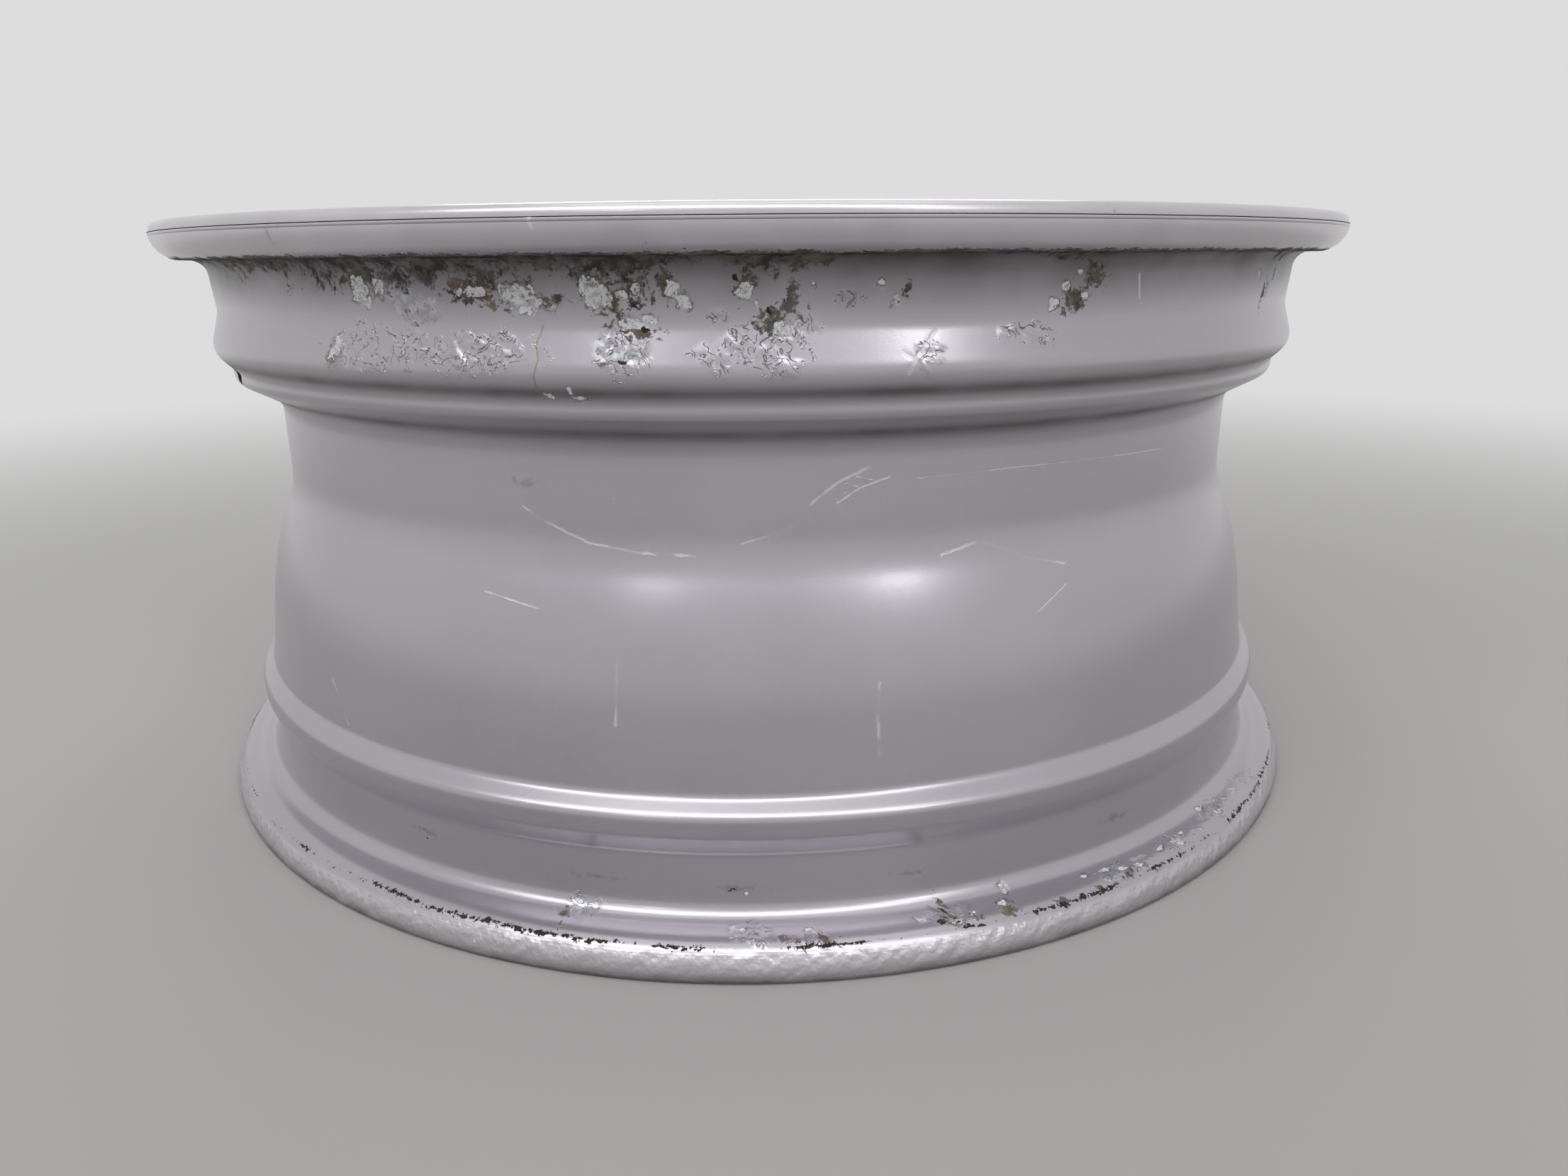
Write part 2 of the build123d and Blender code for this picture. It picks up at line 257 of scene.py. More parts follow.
DARK_SPOTS = [
    (-1.4, 39.6, 1.2, 1.4, 0),
    (-8.4, 47.4, 2.0, 0.9, 20),
    (-7.6, 53.6, 1.4, 0.7, 0),
    (-9.2, 62.8, 1.8, 0.7, -10),
    (-32.8, 12.9, 0.8, 0.5, 0),
    (0.9, 49.0, 0.9, 1.4, 0),
    (13.9, 256.6, 0.9, 2.6, -20),
    (13.4, 261.2, 1.5, 1.1, 0),
    (14.6, 262.6, 1.1, 0.8, 0),
    (10.9, 115.2, 0.5, 0.5, 0),
    (14.3, 197.8, 0.5, 0.5, 0),
    (30.0, 190.3, 0.6, 0.5, 0),
    (-6.6, 19.9, 0.6, 0.5, 0),
    (-5.2, 19.0, 0.7, 0.5, 0),
    (-4.3, 22.4, 0.5, 0.5, 0),
    (-30.2, 240.6, 1.2, 0.5, 0),
    (-2.6, 243.0, 2.4, 0.4, 0),
    (0.6, 243.6, 1.8, 0.4, 0),
]
BLISTERS = [
    (-29.6, 60.0, 22.0, 8.0, 0),
    (-20.6, 60.4, 22.0, 7.6, 0),
    (-9.2, 60.0, 9.0, 7.6, 0),
    (0.6, 60.0, 17.0, 7.8, 0),
    (3.4, 52.6, 5.0, 3.0, 0),
    (19.8, 56.8, 10.0, 3.6, 0),
    (-13.6, 46.8, 6.0, 2.0, 0),
    (-2.8, 49.8, 4.0, 2.0, 0),
    (6.4, 46.0, 6.0, 2.0, 0),
    (12.0, 61.0, 4.0, 5.0, 0),
    (-15.0, 252.0, 6.0, 5.0, 0),
    (-0.8, 259.0, 8.0, 4.6, 0),
    (3.4, 262.6, 7.0, 3.4, 0),
    (14.6, 259.0, 9.0, 6.0, 0),
    (31.0, 260.4, 12.0, 5.0, 0),
    (38.6, 259.4, 14.0, 5.0, 0),
    (46.6, 258.6, 14.0, 5.0, 0),
    (54.0, 260.0, 10.0, 5.0, 0),
]
# Mottled dirt round the worn patches
STAINS = [
    (-31.6, 40.6, 7.0, 2.6, 0),
    (-20.2, 43.0, 10.0, 4.8, 0),
    (-17.0, 43.5, 6.0, 4.8, 0),
    (-14.4, 45.4, 6.0, 1.6, 0),
    (-10.0, 45.0, 7.5, 6.6, 0),
    (-8.2, 43.6, 4.8, 8.0, 10),
    (-8.4, 54.6, 5.5, 2.2, 0),
    (-9.8, 62.4, 4.6, 1.4, -8),
    (-6.2, 40.4, 2.6, 5.4, -20),
    (-0.6, 41.0, 3.8, 4.4, 0),
    (1.2, 50.0, 5.6, 5.2, 0),
    (2.6, 45.4, 1.8, 6.0, 0),
    (10.4, 43.0, 1.8, 3.0, 30),
    (24.6, 40.0, 6.4, 6.4, 0),
    (23.6, 47.0, 5.4, 3.6, 0),
    (52.0, 41.0, 1.4, 6.0, 15),
    (49.5, 47.6, 1.4, 5.0, 15),
    (14.1, 252.0, 1.4, 5.0, -20),
    (14.2, 259.5, 2.8, 2.2, 0),
    (16.4, 262.0, 3.0, 1.6, 0),
    (19.2, 262.0, 3.4, 2.8, 0),
    (1.6, 261.6, 3.6, 2.6, 0),
    (4.4, 262.6, 3.6, 1.8, 0),
    (23.5, 264.0, 4.6, 1.4, 0),
    (27.0, 263.6, 4.0, 1.4, 0),
    (31.0, 262.6, 4.6, 2.2, 0),
    (-16.0, 255.0, 3.0, 2.0, 0),
]
LIFTED = [
    (-26.4, 45.4, 9.0, 5.4, 0),
    (-24.0, 48.2, 4.0, 4.0, 0),
    (-8.0, 58.0, 3.6, 3.0, 20),
    (-33.4, 62.2, 3.6, 2.4, 0),
    (-21.8, 63.6, 5.0, 1.8, 15),
]
SMUDGES = [
    (-30.0, 238.0, 10.0, 1.2, 0),
    (-14.0, 241.0, 12.0, 1.0, 0),
    (-2.0, 242.6, 14.0, 1.4, 0),
    (12.0, 241.0, 9.0, 1.2, 0),
    (33.0, 240.0, 10.0, 1.2, 0),
    (-20.0, 112.0, 8.0, 2.0, 0),
    (-33.9, 17.0, 1.4, 7.0, 10),
]

# Scratches on the paint: half width in millimetres, then (azimuth, path) along each
PALE_SCRATCHES = [
    (0.45, [(-20.5, 119.7), (-18.6, 123.7), (-14.7, 129.7), (-10.3, 132.2), (-5.7, 132.7)]),
    (0.36, [(-1.3, 128.7), (0.8, 126.6), (2.5, 124.2)]),
    (0.50, [(4.3, 116.7), (6.4, 110.7), (9.1, 106.2)]),
    (0.36, [(6.6, 116.6), (8.4, 112.4), (10.8, 109.6)]),
    (0.20, [(13.7, 110.4), (22.0, 109.4), (32.0, 109.6), (42.7, 110.7)]),
    (0.50, [(15.8, 135.2), (18.6, 132.6), (19.9, 132.7), (21.6, 135.4), (23.4, 138.7), (27.9, 143.2)]),
    (0.55, [(9.4, 174.3), (9.2, 184.0), (9.3, 195.8)]),
    (0.50, [(-11.7, 167.8), (-11.8, 185.8)]),
    (0.55, [(-43.4, 192.3), (-41.8, 199.0), (-40.8, 205.3)]),
    (0.45, [(29.7, 41.3), (30.0, 46.3)]),
    (0.60, [(10.5, 65.6), (11.1, 61.4), (12.4, 55.3)]),
    (0.45, [(10.9, 62.6), (10.2, 60.8)]),
    (0.40, [(11.3, 61.0), (11.9, 62.6)]),
    (0.55, [(-13.4, 11.6), (-13.3, 14.8)]),
    (0.35, [(-36.0, 10.6), (-33.6, 11.2)]),
    (0.30, [(-24.0, 148.0), (-19.0, 151.4)]),
    (0.30, [(24.0, 158.0), (27.5, 150.6)]),
]
BROWN_CRACKS = [
    (0.30, [(-15.1, 53.4), (-15.5, 58.0), (-15.3, 62.0), (-15.7, 67.0), (-15.5, 73.0)]),
    (0.24, [(13.2, 254.0), (14.0, 257.4), (13.4, 260.6), (14.4, 263.4)]),
    (0.20, [(4.0, 258.6), (4.4, 262.0), (3.4, 264.6)]),
]

# How far the grime under the outboard lip reaches down the seat, in millimetres, by azimuth
GRIME_TOP = 30.5
GRIME_AZIMUTHS = [-75, -62, -50, -36, -30, -26, -21, -17, -13.5, -9, -7, -5, -3, 0, 4, 5.5, 8, 15, 20,
                  23.5, 27, 32, 45, 50, 56, 68, 100, 130, 160, 180]
GRIME_REACH = [0.5, 5.0, 8.0, 12.0, 14, 18, 15, 11, 11, 12, 8.0, 4.5, 6.0, 11.0, 8.0, 3.5, 2.5, 1.8, 3.0,
               8.0, 3.0, 1.6, 1.8, 5.0, 1.6, 0.5, 1.5, 5.0, 2.5, 4.0]
REAR_GRIME_AZIMUTHS = [-180, -150, -120, -95, -75]
REAR_GRIME_REACH = [4.0, 6.0, 2.0, 3.5, 0.5]

# Black in the corner under the lip, heavier where the grime reaches further: its path and how strong it is
CORNER_MIDDLE = 29.5
CORNER_BLACK = 0.22

# Painted shade under the outboard lip, with a thin film of dirt in it, from its top, over its reach
LIP_SHADE_TOP = 31.0
LIP_SHADE_REACH = 17.0
LIP_SHADE_FULL = 1.15

# Painted shade in the grooves, where they face the floor, with a little dust: path and reach of each
GROOVES = [(72.3, 2.8), (92.5, 4.0)]
GROOVE_SHADE = 0.85

# Painted shade along the inboard flange's lower edge, where it meets the floor, partly dirt
FOOT_SHADE_AND_DIRT = 0.7

# Rows of black specks: first and last azimuth, path, half height in millimetres and how full
SPECK_ROWS = [
    (-64.0, -8.0, 27.4, 0.9, 0.50),
    (-8.0, 66.0, 26.8, 0.8, 0.36),
    (66.0, 296.0, 27.0, 0.8, 0.22),
    (-47.0, -14.0, 264.4, 0.8, 0.44),
    (-14.0, 8.0, 264.9, 0.7, 0.36),
    (8.0, 20.0, 264.6, 0.7, 0.24),
    (20.0, 62.0, 264.8, 0.8, 0.40),
    (62.0, 313.0, 264.8, 0.7, 0.18),
]

# Rear wear follows the front's kinds in smaller numbers
REAR_PATCHES = 26
REAR_BLISTERS = 16
REAR_SCRATCHES = 12

rng = np.random.RandomState(18)


# Outline and grid
def rounded(corners, step):
    """Points along an outline of (radius, height, round) corners, about one step apart."""
    points = np.array([corner[:2] for corner in corners], float)
    parts, start = [], points[0]
    for i in range(1, len(points)):
        here, turn = points[i], corners[i][2]
        if i == len(points) - 1 or turn == 0:
            parts.append((start, here, None, 0.0))
            start = here
            continue
        back = (points[i - 1] - here) / np.linalg.norm(points[i - 1] - here)
        ahead = (points[i + 1] - here) / np.linalg.norm(points[i + 1] - here)
        half = np.arccos(np.clip(back @ ahead, -1, 1)) / 2
        centre = here + (back + ahead) / np.linalg.norm(back + ahead) * turn / np.sin(half)
        first, last = here + back * turn / np.tan(half), here + ahead * turn / np.tan(half)
        parts.append((start, first, None, 0.0))
        parts.append((first, last, centre, turn))
        start = last
    out = [points[0]]
    for first, last, centre, turn in parts:
        if centre is None:
            length = np.linalg.norm(last - first)
            if length < 1e-6:
                continue
            count = max(1, int(round(length / step)))
            out += [first + (last - first) * k / count for k in range(1, count + 1)]
        else:
            begin = atan2(first[1] - centre[1], first[0] - centre[0])
            swing = atan2(last[1] - centre[1], last[0] - centre[0]) - begin
            swing = (swing + np.pi) % (2 * np.pi) - np.pi
            count = max(2, int(round(abs(swing) * turn / step)))
            angles = begin + swing * np.arange(1, count + 1) / count
            out += [centre + turn * np.array([cos(a), sin(a)]) for a in angles]
    return np.array(out)


def path_of(points):
    """Distance along the points from the first one."""
    return np.concatenate([[0], np.cumsum(np.linalg.norm(np.diff(points, axis=0), axis=1))])


def stretch(first, last, step):
    """Even values after first up to last, no more than a step apart."""
    return np.linspace(first, last, ceil((last - first) / step) + 1)[1:]


outline = rounded(CORNERS, OUTLINE_STEP)
outline_path = path_of(outline)
rows = np.concatenate(
    [
        [0.0],
        stretch(0.0, BAND_ENDS[0], FINE_STEP),
        stretch(BAND_ENDS[0], FINE_BELOW_HUMP, FINE_STEP),
        stretch(FINE_BELOW_HUMP, BAND_ENDS[1], BARREL_STEP),
        stretch(BAND_ENDS[1], outline_path[-1], FINE_STEP),
    ]
)
azimuths = np.concatenate(
    [
        np.arange(-180, -FRONT_HALF_ANGLE, REAR_STEP),
        np.arange(-FRONT_HALF_ANGLE, FRONT_HALF_ANGLE, FRONT_STEP),
        np.arange(FRONT_HALF_ANGLE, 180, REAR_STEP),
    ]
)
row_r = np.interp(rows, outline_path, outline[:, 0])
row_z = np.interp(rows, outline_path, outline[:, 1])
AZIMUTH, PATH = np.meshgrid(azimuths, rows)
ARC_LENGTH = np.radians(AZIMUTH) * ARC_RADIUS


# Fields of wear and painted shade over the grid
LOWEST = -3.0
SIDE_LIMIT = 12.0
LINE_REACH = 4.0
FAR_AWAY = 99.0
LATTICE = 512
lattice = rng.rand(64, LATTICE, LATTICE)
ROUND_ABOUT = 2 * np.pi * ARC_RADIUS


def noise(cell_arc, cell_path, layer, shift=0.0):
    """Smooth noise from -1 to 1 over the grid, which closes round the wheel."""
    cells = max(4, int(round(ROUND_ABOUT / cell_arc)))
    u = (ARC_LENGTH + shift * PATH) / ROUND_ABOUT * cells
    v = PATH / cell_path + 7.0 * layer
    u0, v0 = np.floor(u).astype(int), np.floor(v).astype(int)
    fu, fv = u - u0, v - v0
    fu, fv = fu * fu * (3 - 2 * fu), fv * fv * (3 - 2 * fv)
    table = lattice[layer]
    cells_u = min(cells, LATTICE)
    a, b = u0 % cells % cells_u, (u0 + 1) % cells % cells_u
    c, d = v0 % LATTICE, (v0 + 1) % LATTICE
    low = table[a, c] * (1 - fu) + table[b, c] * fu
    high = table[a, d] * (1 - fu) + table[b, d] * fu
    return 2 * (low * (1 - fv) + high * fv) - 1


def rough(cell, layer, octaves=3):
    """Noise of several sizes added up, from about -1 to 1."""
    total, weight = 0, 0
    for k in range(octaves):
        total = total + noise(cell / 2**k, cell / 2**k, layer + k) / 2**k
        weight += 1 / 2**k
    return total / weight


def ellipses(patches):
    """1 in the middle of the nearest ellipse, 0 at its edge and less outside."""
    field = np.full(AZIMUTH.shape, LOWEST)
    for azimuth, path, half_width, half_height, tilt in patches:
        away = (AZIMUTH - azimuth + 180) % 360 - 180
        arc = np.radians(away) * ARC_RADIUS + WARP_ARC
        down = PATH - path + WARP_PATH
        c, s = cos(radians(tilt)), sin(radians(tilt))
        distance = np.hypot((arc * c + down * s) / half_width, (down * c - arc * s) / half_height)
        field = np.maximum(field, 1 - distance)
    return field


def nearest_line(lines):
    """Distance to the nearest line in millimetres, and to which side of it in half widths."""
    least = np.full(AZIMUTH.shape, FAR_AWAY)
    side = np.full(AZIMUTH.shape, SIDE_LIMIT)
    for half_width, points in lines:
        for (a0, s0), (a1, s1) in zip(points[:-1], points[1:]):
            start = np.radians((AZIMUTH - a0 + 180) % 360 - 180) * ARC_RADIUS
            run = np.array([radians(a1 - a0) * ARC_RADIUS, s1 - s0])
            share = np.clip((start * run[0] + (PATH - s0) * run[1]) / (run @ run), 0, 1)
            away = np.hypot(start - share * run[0], PATH - s0 - share * run[1])
            across = (start * run[1] - (PATH - s0) * run[0]) / np.hypot(*run) / half_width
            side = np.where(away < least, np.clip(across, -SIDE_LIMIT, SIDE_LIMIT), side)
            least = np.minimum(away, least)
    return least, np.where(least > LINE_REACH, SIDE_LIMIT, side)


def ramp(field, low, high):
    """Smooth step from 0 at low to 1 at high."""
    share = np.clip((field - low) / (high - low), 0, 1)
    return share * share * (3 - 2 * share)


# Wear of the rear half, placed at random but the same each run
rear_bare, rear_blisters, rear_scratches = [], [], []
for _ in range(REAR_PATCHES):
    azimuth, low = rng.uniform(80, 280), rng.rand() < 0.45
    path = rng.uniform(256, 264) if low else rng.uniform(38, 52)
    rear_bare.append((azimuth, path, rng.uniform(1.0, 3.6), rng.uniform(0.8, 2.6), rng.uniform(-30, 30)))
for _ in range(REAR_BLISTERS):
    azimuth, low = rng.uniform(75, 285), rng.rand() < 0.5
    path = rng.uniform(257, 262) if low else rng.uniform(52, 61)
    rear_blisters.append((azimuth, path, rng.uniform(5, 16), rng.uniform(3, 6.5), 0))
for _ in range(REAR_SCRATCHES):
    azimuth, path = rng.uniform(80, 280), rng.uniform(105, 195)
    run, drop = rng.uniform(-6, 6), rng.uniform(-14, 14)
    rear_scratches.append((rng.uniform(0.2, 0.4), [(azimuth, path), (azimuth + run, path + drop)]))

medium = rough(5.0, 0)
small = rough(2.2, 4)
fine = rough(1.6, 8, 2)
WARP_ARC = 1.5 * rough(4.0, 20) + 0.5 * rough(1.8, 23, 2)
WARP_PATH = 1.1 * rough(4.0, 26) + 0.5 * rough(1.8, 29, 2)

reach_azimuths = REAR_GRIME_AZIMUTHS[:-1] + GRIME_AZIMUTHS
reach_values = REAR_GRIME_REACH[:-1] + GRIME_REACH
bare = ellipses(BARE + rear_bare) + 0.12 + 0.7 * medium + 0.6 * small
raw = ellipses(RAW_METAL) + 0.08 + 0.6 * medium + 0.5 * small
rear_stains = [(a, s, w + 1.5, h + 1.5, t) for a, s, w, h, t in rear_bare]
stained = ellipses(STAINS + rear_stains) + 0.5 * medium + 0.5 * small
rust = ellipses(RUST) + 0.5 * small
dark = ellipses(DARK_SPOTS) + 0.40 * small
corner_black = CORNER_BLACK * np.interp(azimuths, reach_azimuths, reach_values)[None, :] ** 0.5
dark = np.maximum(dark, corner_black - ((PATH - CORNER_MIDDLE) / 3.0) ** 2 + 1.3 * rough(6.0, 53))
lifted = ellipses(LIFTED) + 0.8 * medium
blistered = ellipses(BLISTERS + rear_blisters) + 0.6 * medium
smudged = ellipses(SMUDGES) + 0.5 * medium
# Painted shade under the outboard lip and in the grooves, partly a film of dirt
shade_and_dirt = np.where(PATH < 20, 0, LIP_SHADE_FULL - np.maximum(PATH - LIP_SHADE_TOP, 0) / LIP_SHADE_REACH)
shade_and_dirt = np.clip(shade_and_dirt * (0.9 + 0.25 * rough(14.0, 38)) * ramp(PATH, 26, 29), 0, 1)
shaded_grooves = GROOVE_SHADE * sum(np.exp(-((PATH - middle) / reach) ** 2) for middle, reach in GROOVES)
shade_and_dirt = np.maximum(shade_and_dirt, shaded_grooves * (0.9 + 0.3 * rough(20.0, 41)))
scratch_away, scratch_side = nearest_line(PALE_SCRATCHES + rear_scratches)
crack_away, crack_side = nearest_line(BROWN_CRACKS)

reach = np.interp(azimuths, reach_azimuths, reach_values)[None, :]
grime_edge = 1 - np.maximum(PATH - GRIME_TOP, 0) / reach
grime = np.where(PATH < 21, -1.0, grime_edge + 0.75 * medium + 0.35 * small - 0.15)
grime = np.where(PATH > 70, -1.0, grime) - ramp(-PATH, -26, -21) * 2

specked = np.full(AZIMUTH.shape, LOWEST)
for first, last, path, half_height, share in SPECK_ROWS:
    around = (AZIMUTH - first) % 360 < last - first
    middle = path + 0.5 * noise(9.0, 300.0, 59)
    row = share + 0.5 * noise(13.0, 300.0, 60) - np.abs(PATH - middle) / half_height * 0.6
    specked = np.where(around, np.maximum(specked, row), specked)

band = ramp(PATH, 266.0, 268.0) * (1 - ramp(PATH, 275.0, 276.5))
lip_worn = ramp(rough(7.0, 56) + 0.4 * small, -0.05, 0.12)
lip_top = ramp(PATH, 2.0, 3.5) * (1 - ramp(PATH, 7.5, 9.5)) * lip_worn
lip_tone = 1.05 * (1 - ramp(PATH, 20.0, 25.0)) * (0.85 + 0.3 * rough(16.0, 45))
pale = np.maximum(np.maximum(0.7 * band, lip_tone), 0.95 * lip_top)
# Painted contact shade along the foot, partly dirt
foot_shade_and_dirt = FOOT_SHADE_AND_DIRT * ramp(PATH, 272.0, 275.5) * (0.8 + 0.5 * rough(9.0, 49))
shade_and_dirt = np.maximum(shade_and_dirt, foot_shade_and_dirt)

# Heights of the relief in millimetres, outward
CRINKLE_RISE = 0.28
LIFTED_RISE = 0.22
GRIME_RISE = 0.16
BARE_DEPTH = 0.26
RAW_DEPTH = 0.20
SCRATCH_DEPTH = 0.05
CRACK_DEPTH = 0.08
wrinkle = 1 - np.abs(noise(6.4, 3.2, 12, 0.5) + 0.4 * small) * 4.0
wrinkle = np.maximum(wrinkle, 1 - np.abs(noise(7.6, 3.6, 13, -0.7) + 0.4 * fine) * 4.4)
crinkled = ramp(blistered, -0.05, 0.30)
height = crinkled * (CRINKLE_RISE * np.clip(wrinkle, 0, 1) + 0.08 * medium)
height += LIFTED_RISE * ramp(lifted, 0.0, 0.2) * (0.6 + 0.4 * medium)
height += (GRIME_RISE + 0.14 * small) * ramp(grime, 0.1, 0.5)
height -= BARE_DEPTH * ramp(bare, 0.0, 0.15) * (1 + 0.5 * fine)
height -= RAW_DEPTH * ramp(raw, 0.0, 0.15) * (1 + 0.4 * fine)
height -= SCRATCH_DEPTH * (1 - ramp(scratch_away, 0.2, 1.0))
height -= CRACK_DEPTH * (1 - ramp(crack_away, 0.2, 1.0))
height += 0.10 * small * ramp(stained, 0.0, 0.5)
height += band * (0.12 * noise(6.0, 3.2, 16, 1.2) + 0.18 * noise(2.6, 4.2, 17, 1.0) - 0.30)
outside = ramp(row_r[:, None] * np.ones_like(AZIMUTH), FLANGE_R - 2.0, FLANGE_R)
height = np.where(PATH < 2.0, 0, height) - np.maximum(height, 0) * outside
height *= ramp(PATH, 0.0, 3.0) * (1 - ramp(PATH, 276.0, 277.0))


# The rim's meshes
tangent_r = np.gradient(row_r, rows)
tangent_z = np.gradient(row_z, rows)
length = np.hypot(tangent_r, tangent_z)
normal_r, normal_z = -tangent_z / length, tangent_r / length
grid_r = row_r[:, None] + normal_r[:, None] * height
grid_z = row_z[:, None] + normal_z[:, None] * height
points = np.stack([grid_r * np.sin(np.radians(AZIMUTH)), -grid_r * np.cos(np.radians(AZIMUTH)), grid_z], -1)

# The valve hole: the grid's points just inside its mouth move out onto it
valve_a, valve_t = radians(VALVE_AZIMUTH), radians(VALVE_TILT)
valve_out = np.array([sin(valve_a) * cos(valve_t), -cos(valve_a) * cos(valve_t), -sin(valve_t)])
valve_at = np.array([VALVE_RADIUS * sin(valve_a), -VALVE_RADIUS * cos(valve_a), VALVE_HEIGHT])
offset = points - valve_at
depth = offset @ valve_out
flat = offset - depth[..., None] * valve_out
from_axis = np.linalg.norm(flat, axis=-1)
in_hole = (from_axis < VALVE_MOUTH_R) & (np.abs(depth) < VALVE_MOUTH_DEPTH)
beside = np.zeros_like(in_hole)
for row_shift in (-1, 0, 1):
    for column_shift in (-1, 0, 1):
        beside |= ~np.roll(in_hole, (row_shift, column_shift), (0, 1))
rim_of_hole = in_hole & beside
scale = np.where(rim_of_hole, VALVE_MOUTH_R / np.maximum(from_axis, 1e-6), 1.0)
points = points + flat * (scale - 1)[..., None]

along_row = np.roll(points, -1, 1) - np.roll(points, 1, 1)
down_path = np.gradient(points, axis=0)
normals = np.cross(along_row, down_path)
normals /= np.linalg.norm(normals, axis=-1)[..., None]
outward = np.stack(
    [
        normal_r[:, None] * np.sin(np.radians(AZIMUTH)),
        -normal_r[:, None] * np.cos(np.radians(AZIMUTH)),
        normal_z[:, None] * np.ones_like(AZIMUTH),
    ],
    -1,
)
normals *= np.sign((normals * outward).sum(-1))[..., None]

FIELDS = {
    "bare": bare,
    "raw": raw,
    "rust": rust,
    "dark": dark,
    "lifted": lifted,
    "blistered": blistered,
    "smudged": smudged,
    "stained": stained,
    "scratch_away": scratch_away,
    "scratch_side": scratch_side,
    "crack_away": crack_away,
    "crack_side": crack_side,
    "grime": grime,
    "specked": specked,
    "band": band,
    "pale": pale,
    "shade_and_dirt": shade_and_dirt,
}

# What the fields hold where there is no wear and no painted shade
CLEAN = {name: LOWEST for name in FIELDS}
CLEAN.update({name: 0.0 for name in ("band", "pale", "shade_and_dirt")})
CLEAN.update({name: FAR_AWAY for name in FIELDS if name.endswith(("_away", "_side"))})


def rim_piece(name, first, last):
    """One piece of the tyre's side, between two rows of the grid."""
    columns = len(azimuths)
    block = points[first:last + 1].reshape(-1, 3) * MM
    index = np.arange((last - first + 1) * columns).reshape(-1, columns)
    right = np.roll(index, -1, 1)
    quads = np.stack([index[:-1], index[1:], right[1:], right[:-1]], -1).reshape(-1, 4)
    inside = in_hole[first:last + 1].reshape(-1)
    quads = quads[~inside[quads].all(1)]
    mesh = bpy.data.meshes.new(name)
    used = np.unique(quads)
    renumber = np.full(len(block), -1)
    renumber[used] = np.arange(len(used))
    mesh.from_pydata(block[used].tolist(), [], renumber[quads].tolist())
    for field_name, field in FIELDS.items():
        attribute = mesh.attributes.new(field_name, "FLOAT", "POINT")
        values = field[first:last + 1].reshape(-1)[used].astype(np.float32)
        attribute.data.foreach_set("value", values)
    mesh.shade_smooth()
    mesh.normals_split_custom_set_from_vertices(
        normals[first:last + 1].reshape(-1, 3)[used].tolist()
    )
    piece = bpy.data.objects.new(name, mesh)
    bpy.context.scene.collection.objects.link(piece)
    return piece


split_rows = [0] + [int(np.argmin(np.abs(rows - end))) for end in BAND_ENDS] + [len(rows) - 1]
outboard_band = rim_piece("wheel_outboard_flange", split_rows[0], split_rows[1])
barrel = rim_piece("wheel_barrel", split_rows[1], split_rows[2])
inboard_seat = rim_piece("wheel_inboard_seat", split_rows[2], split_rows[3])
inboard_band = rim_piece("wheel_inboard_flange", split_rows[3], split_rows[4])

# The rest of the casting: the solid's own mesh without the tyre's side
NEAR_OUTLINE = 0.15
SAME_POINT = 0.002
INNERMOST_OUTLINE = 205.0
SHARP_ANGLE = 24.0
body_mesh = bpy.data.meshes.new("wheel_centre")
centre = bpy.data.objects.new("wheel_centre", body_mesh)
bpy.context.scene.collection.objects.link(centre)
work = bmesh.new()
work.from_mesh(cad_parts["wheel"].data)
bmesh.ops.remove_doubles(work, verts=work.verts, dist=SAME_POINT * MM)
bmesh.ops.dissolve_degenerate(work, edges=work.edges, dist=SAME_POINT * MM)
co = np.array([v.co for v in work.verts]) / MM
vertex_r, vertex_z = np.hypot(co[:, 0], co[:, 1]), co[:, 2]
on_outline = np.zeros(len(co), bool)
for i in np.flatnonzero(vertex_r > INNERMOST_OUTLINE):
    away = np.hypot(outline[:, 0] - vertex_r[i], outline[:, 1] - vertex_z[i])
    on_outline[i] = away.min() < NEAR_OUTLINE
work.verts.ensure_lookup_table()
gone = [face for face in work.faces if all(on_outline[v.index] for v in face.verts)]
bmesh.ops.delete(work, geom=gone, context="FACES")
work.verts.index_update()
body_mesh.from_pydata(
    [tuple(vertex.co) for vertex in work.verts],
    [],
    [[vertex.index for vertex in face.verts] for face in work.faces],
)
work.free()
for field_name, clean_value in CLEAN.items():
    attribute = body_mesh.attributes.new(field_name, "FLOAT", "POINT")
    values = np.full(len(body_mesh.vertices), clean_value, np.float32)
    attribute.data.foreach_set("value", values)
# Inside the valve hole the casting is painted black: painted shade in the hole
body_points = np.array([vertex.co for vertex in body_mesh.vertices]) / MM - valve_at
body_depth = body_points @ valve_out
body_away = np.linalg.norm(body_points - body_depth[:, None] * valve_out, axis=1)
in_valve_hole = (body_away < VALVE_MOUTH_R) & (np.abs(body_depth) < VALVE_WALL)
painted_hole_shade = np.where(in_valve_hole, 1.0, CLEAN["dark"]).astype(np.float32)
body_mesh.attributes["dark"].data.foreach_set("value", painted_hole_shade)
body_mesh.shade_smooth()
body_mesh.set_sharp_from_angle(angle=radians(SHARP_ANGLE))
even_normals = centre.modifiers.new("even_normals", "WEIGHTED_NORMAL")
even_normals.mode = "FACE_AREA"
even_normals.weight = 80
even_normals.keep_sharp = True


